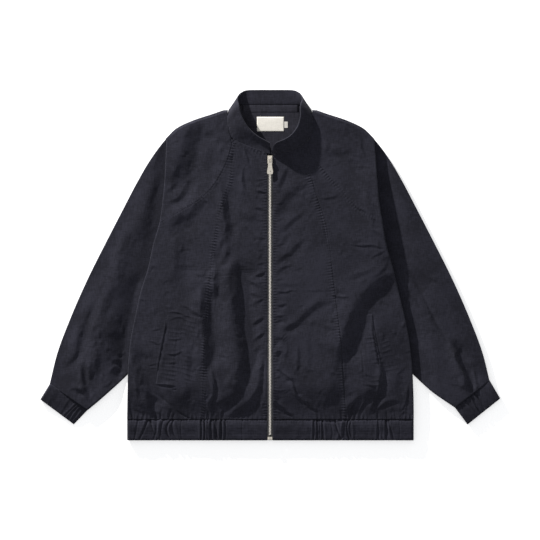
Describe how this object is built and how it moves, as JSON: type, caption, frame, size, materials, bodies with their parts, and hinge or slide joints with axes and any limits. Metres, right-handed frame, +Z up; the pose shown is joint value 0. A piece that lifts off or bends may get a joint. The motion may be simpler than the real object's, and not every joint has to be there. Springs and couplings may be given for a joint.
{
  "type": "bomber jacket",
  "caption": "Zip-front raglan bomber jacket with stand collar, welt pockets, gathered hem band and cuffs, laid flat on its back.",
  "frame": {"origin": "on the surface the jacket lies on, under the middle of its outline", "axes": "+Z up, away from the surface; +Y towards the neck; +X towards the sleeve that is on the right from above"},
  "size_m": [0.9186, 0.7, 0.041],
  "materials": {
    "twill": "matt dark navy cotton twill, washed, puckered along its seams",
    "label": "cream woven label, blank",
    "zip_tape": "dark woven zip tape",
    "zip_metal": "warm silver metal, satin"
  },
  "bodies": {
    "jacket": {"back_panel": "twill", "front_centre_left": "twill", "front_centre_right": "twill", "front_side_left": "twill", "front_side_right": "twill", "sleeve_front_left": "twill", "sleeve_front_right": "twill", "sleeve_back_left": "twill", "sleeve_back_right": "twill", "hem_band": "twill", "cuff_left": "twill", "cuff_right": "twill", "collar": "twill", "welt_left": "twill", "welt_right": "twill", "neck_tape": "twill", "neck_label": "label", "size_tab": "label", "zip_tape_left": "zip_tape", "zip_tape_right": "zip_tape", "zip_chain": "zip_metal", "zip_slider": "zip_metal", "zip_box_left": "zip_metal", "zip_box_right": "zip_metal"},
    "pull": {"zip_pull": "zip_metal"}
  },
  "joints": [
    {"name": "pull_hinge", "type": "hinge", "parent": "jacket", "child": "pull", "pos_m": [0, 0.2098, 0.0236], "axis": [-1, 0, 0], "range_deg": [0, 160]}
  ]
}
